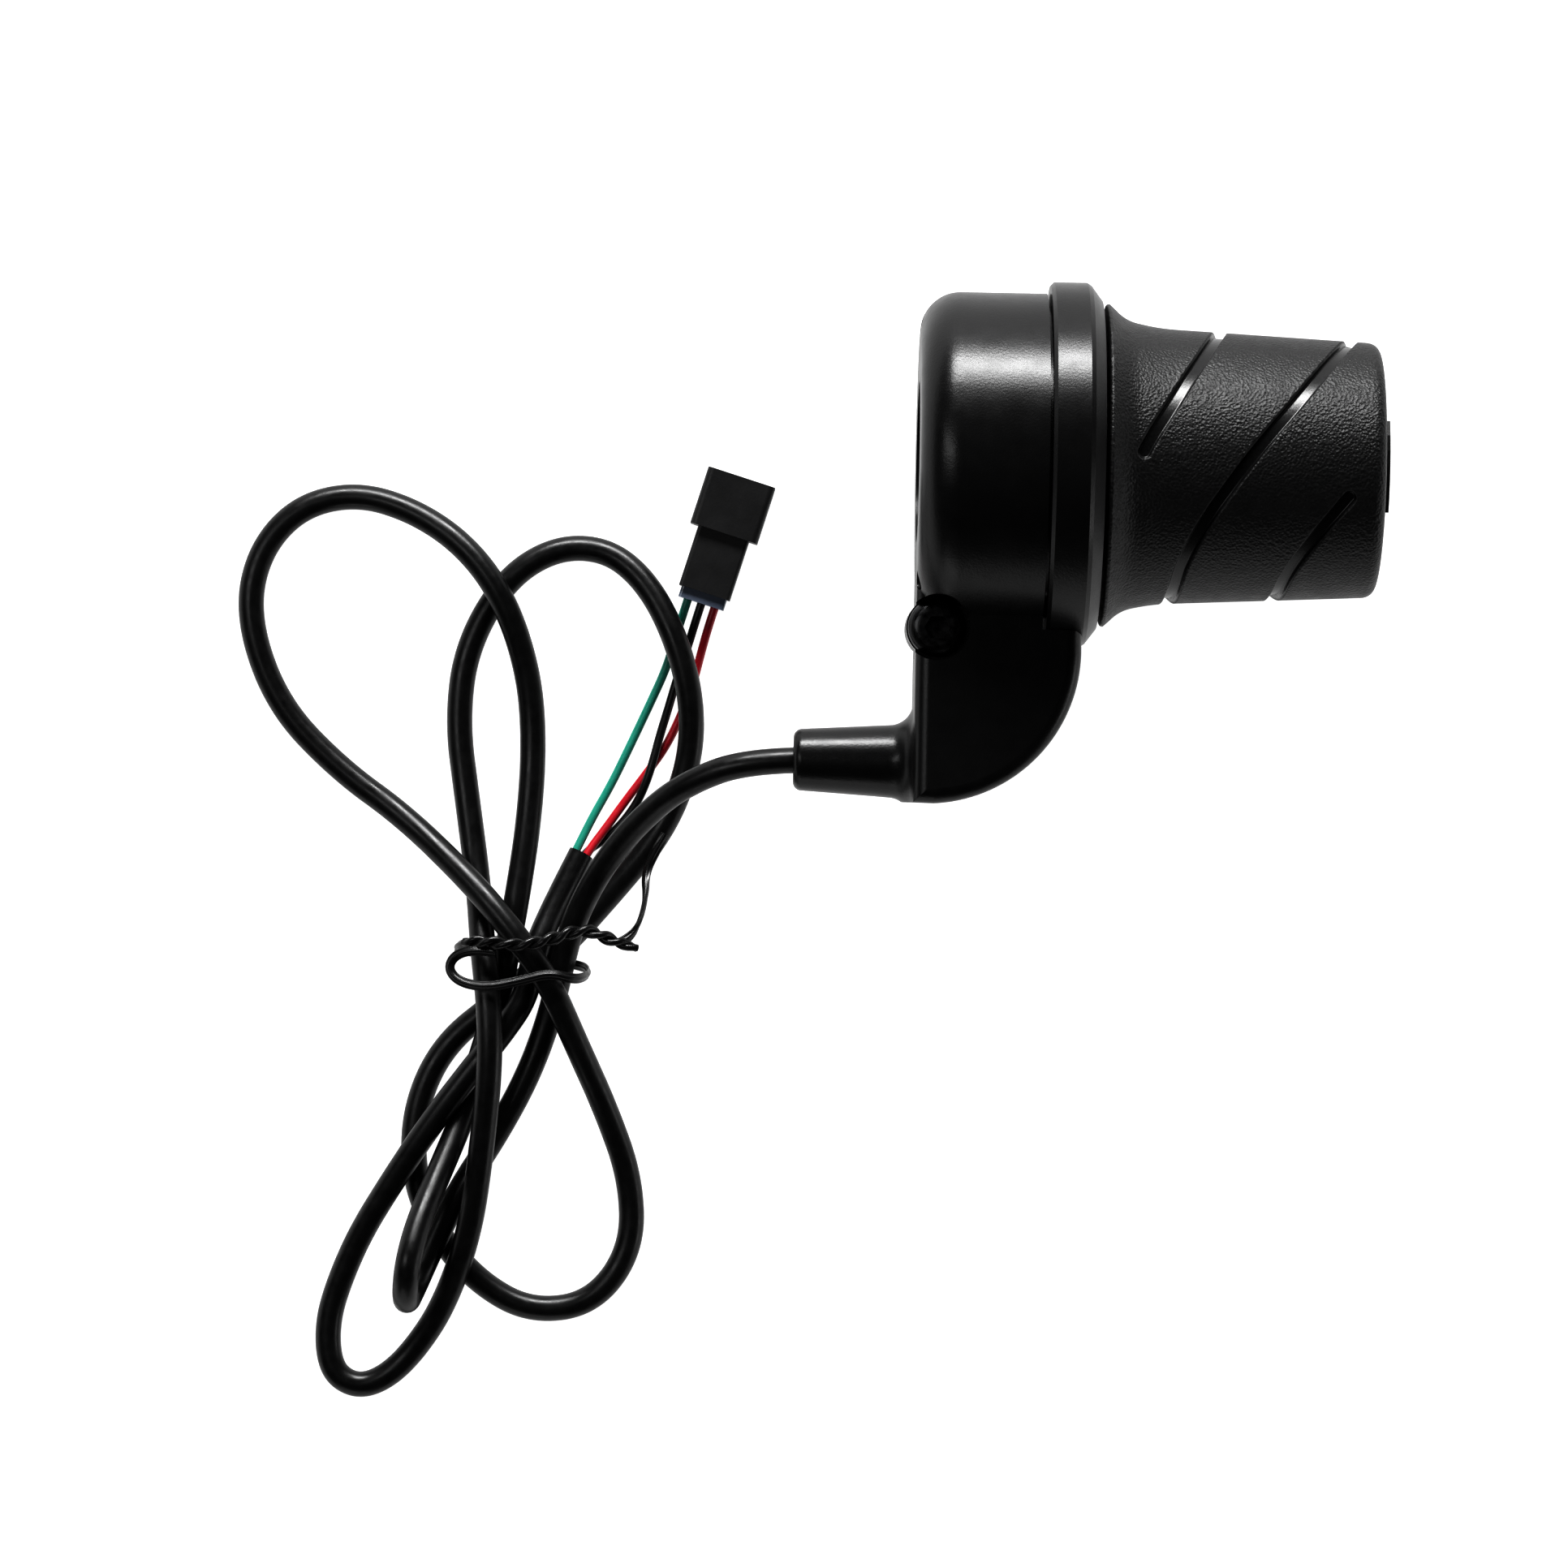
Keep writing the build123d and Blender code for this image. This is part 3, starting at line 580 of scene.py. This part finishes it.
def piece(obj, body, slot_name, *replaced):
    """Gives a new piece its body, its finish and the CAD nodes it stands for."""
    dress(obj, slot_name)
    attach(obj, body)
    if replaced:
        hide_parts(*replaced)


piece(cable, STATIC, "cable_pvc", "throttle_cable")
piece(teal_wire, STATIC, "wire_green", "wire_green")
piece(crimson_wire, STATIC, "wire_red", "wire_red")
piece(dark_wire, STATIC, "wire_black", "wire_black")
for part in tie_parts:
    piece(part, STATIC, "tie_plastic", "twist_tie")


# ---------------------------------------------------------------- grip rubber
BORE_R = 0.0134
GROOVE_DEPTH = 0.00085
GROOVE_HALF = 0.00098
TURN_STEPS = 900
# Each point: angle from +Y towards +Z in degrees, and place along the bar in mm.
GROOVES = (
    (
        (-104, 60.0), (-97, 57.4), (-86, 54.2), (-71, 50.6), (-54, 47.2), (-36, 44.4),
        (-17, 42.4), (0, 41.4), (18, 40.5), (37, 38.6), (54, 36.1), (68, 33.7), (79, 31.6),
        (87, 30.2),
    ),
    (
        (-10, 60.0), (4, 59.3), (19, 58.2), (34, 56.3), (50, 53.6), (64, 50.7), (78, 47.3),
        (90, 44.4), (101, 41.9), (112, 39.6), (124, 37.6), (140, 35.9), (158, 35.2), (176, 34.8),
        (194, 34.1), (212, 32.6), (226, 30.8),
    ),
    (
        (105, 58.2), (113, 56.3), (122, 54.3), (136, 51.8), (150, 50.3), (168, 49.5), (186, 48.9),
        (205, 47.5), (222, 45.1), (238, 42.0), (252, 38.6), (265, 35.0), (277, 31.8),
    ),
)


def bend(a, corner, b, count):
    """Points of a smooth corner from a to b."""
    t = np.linspace(0, 1, count)[:, None]
    a, corner, b = (np.array(v, float) for v in (a, corner, b))
    return (1 - t) ** 2 * a + 2 * t * (1 - t) * corner + t * t * b


def straight(a, b, count):
    t = np.linspace(0, 1, count + 2)[1:-1, None]
    return (1 - t) * np.array(a, float) + t * np.array(b, float)


def grip_profile():
    """Outer line of the grip, from the flare to the end face, in mm."""
    return np.concatenate(
        [
            bend((25.42, 21.7), (25.45, 22.3), (25.95, 22.22), 8),
            straight((25.95, 22.22), (26.91, 21.34), 8),
            bend((26.91, 21.34), (28.2, 20.0), (30.02, 19.62), 26),
            straight((30.02, 19.62), (30.72, 19.48), 4),
            bend((30.72, 19.48), (33.0, 19.0), (35.33, 18.885), 40),
            straight((35.33, 18.885), (61.4, 17.6), 236),
            bend((61.4, 17.6), (63.15, 17.5), (63.3, 15.8), 16),
            bend((63.3, 15.8), (63.36, 15.2), (63.38, 13.42), 6)[1:],
        ]
    )


def groove_line(points):
    """Dense smooth line through a groove's points, as angle and place."""
    p = np.array(points, float)
    out = []
    for value in np.linspace(0, len(p) - 1, 260):
        i = min(int(value), len(p) - 2)
        u = value - i
        p0, p1, p2, p3 = p[max(i - 1, 0)], p[i], p[i + 1], p[min(i + 2, len(p) - 1)]
        square = 2 * p0 - 5 * p1 + 4 * p2 - p3
        cube = 3 * p1 - p0 - 3 * p2 + p3
        out.append(0.5 * (2 * p1 + (p2 - p0) * u + square * u * u + cube * u**3))
    return np.array(out)


def grip_mesh():
    """Grip body with its grooves cut in, closed round the sleeve's bore."""
    profile = grip_profile()
    rows = len(profile)
    angles = np.arange(TURN_STEPS) * 360.0 / TURN_STEPS
    x = np.repeat(profile[:, 0:1], TURN_STEPS, axis=1)
    r = np.repeat(profile[:, 1:2], TURN_STEPS, axis=1)
    nearest = np.full(x.shape, 1e9)
    for points in GROOVES:
        line = groove_line(points)
        for turn in (-360, 0, 360):
            for angle, place in line:
                off = angles - angle + turn
                window = np.abs(off) < 9
                if not window.any():
                    continue
                across = np.radians(off[window])[None, :] * r[:, window]
                along = x[:, window] - place
                nearest[:, window] = np.minimum(nearest[:, window], across**2 + along**2)
    d = np.sqrt(nearest) * MM / GROOVE_HALF
    wall = np.clip((1.08 - d) / 0.36, 0, 1)
    mask = wall * wall * (3 - 2 * wall)
    depth = GROOVE_DEPTH * mask
    radius = r * MM - depth
    theta = np.radians(angles)[None, :]
    outer = np.stack([x * MM, radius * np.cos(theta), radius * np.sin(theta)], axis=2)
    inner = []
    for place in (profile[-1, 0], profile[0, 0]):
        level = np.full(TURN_STEPS, place * MM)
        ring = [level, BORE_R * np.cos(theta[0]), BORE_R * np.sin(theta[0])]
        inner.append(np.stack(ring, axis=1)[None])
    grid = np.concatenate([outer] + inner, axis=0)
    total = grid.shape[0]
    index = np.arange(total * TURN_STEPS).reshape(total, TURN_STEPS)
    right = np.roll(index, -1, axis=1)
    quads = []
    for i in range(total):
        j = (i + 1) % total
        quads.append(np.stack([index[i], index[j], right[j], right[i]], axis=1))
    faces = np.concatenate(quads)
    mesh = bpy.data.meshes.new("grip_skin")
    mesh.from_pydata(grid.reshape(-1, 3).tolist(), [], faces.tolist())
    mesh.update()
    mesh.polygons.foreach_set("use_smooth", [True] * len(mesh.polygons))
    values = np.zeros(total * TURN_STEPS, np.float32)
    values[: rows * TURN_STEPS] = np.clip(mask * 1.6, 0, 1).reshape(-1)
    mesh.attributes.new("groove", "FLOAT", "POINT").data.foreach_set("value", values)
    return mesh


grip = link(bpy.data.objects.new("grip_skin", grip_mesh()))
piece(grip, ROTOR, "grip_rubber", "grip_rubber")


# ---------------------------------------------------------------- floor and light
def area_light(name, place, target, width, height, watts):
    data = bpy.data.lights.new(name, "AREA")
    data.shape = "RECTANGLE"
    data.size = width
    data.size_y = height
    data.energy = watts
    lamp = bpy.data.objects.new(name, data)
    lamp.location = place
    lamp.rotation_euler = (Vector(target) - Vector(place)).to_track_quat("-Z", "Y").to_euler()
    link(lamp)


area_light("key", (-0.02, 0.84, 0.38), (0.0, 0.0, 0.0), 0.72, 0.25, 20.0)
area_light("left", (-0.52, 0.10, 0.76), (-0.05, -0.05, -0.02), 0.22, 0.5, 1.6)
area_light("side_right", (0.85, -0.25, 0.16), (0.02, -0.03, 0.0), 0.5, 0.22, 1.2)
area_light("side_front", (-0.25, -0.95, 0.18), (-0.02, -0.05, 0.0), 0.6, 0.22, 0.8)

# The backdrop is white low down and dark overhead, so only the lamps draw highlights.
world = bpy.data.worlds.new("studio")
world.use_nodes = True
world_tree = world.node_tree
direction = world_tree.nodes.new("ShaderNodeTexCoord").outputs["Generated"]
height_of = world_tree.nodes.new("ShaderNodeSeparateXYZ")
world_tree.links.new(direction, height_of.inputs[0])
backdrop = world_tree.nodes["Background"]
backdrop.inputs["Color"].default_value = (1.0, 1.0, 1.0, 1.0)
glow = ramp(world_tree, height_of.outputs["Z"], 0.03, 0.14, 1.0, 0.035)
world_tree.links.new(glow, backdrop.inputs["Strength"])
scene.world = world
scene.view_settings.view_transform = "Standard"
scene.view_settings.gamma = 0.66

floor_mesh = bpy.data.meshes.new("floor")
FLOOR_HALF = 3.0
floor_corners = []
for a, b in ((-1, -1), (1, -1), (1, 1), (-1, 1)):
    floor_corners.append((a * FLOOR_HALF, b * FLOOR_HALF, FLOOR_Z))
floor_mesh.from_pydata(floor_corners, [], [(0, 1, 2, 3)])
floor = link(bpy.data.objects.new("floor", floor_mesh))
paper, paper_tree, paper_shader = material("paper", (0.25, 0.25, 0.25), 0.9)
paper_shader.inputs["Emission Color"].default_value = (1.0, 1.0, 1.0, 1.0)
paper_shader.inputs["Emission Strength"].default_value = 1.02
paper_coords = object_coords(paper_tree)
paper_grain = noise(paper_tree, paper_coords, 900.0)
paper_tree.links.new(bump(paper_tree, paper_grain, 0.05, 0.00002), paper_shader.inputs["Normal"])
floor_mesh.materials.append(paper)
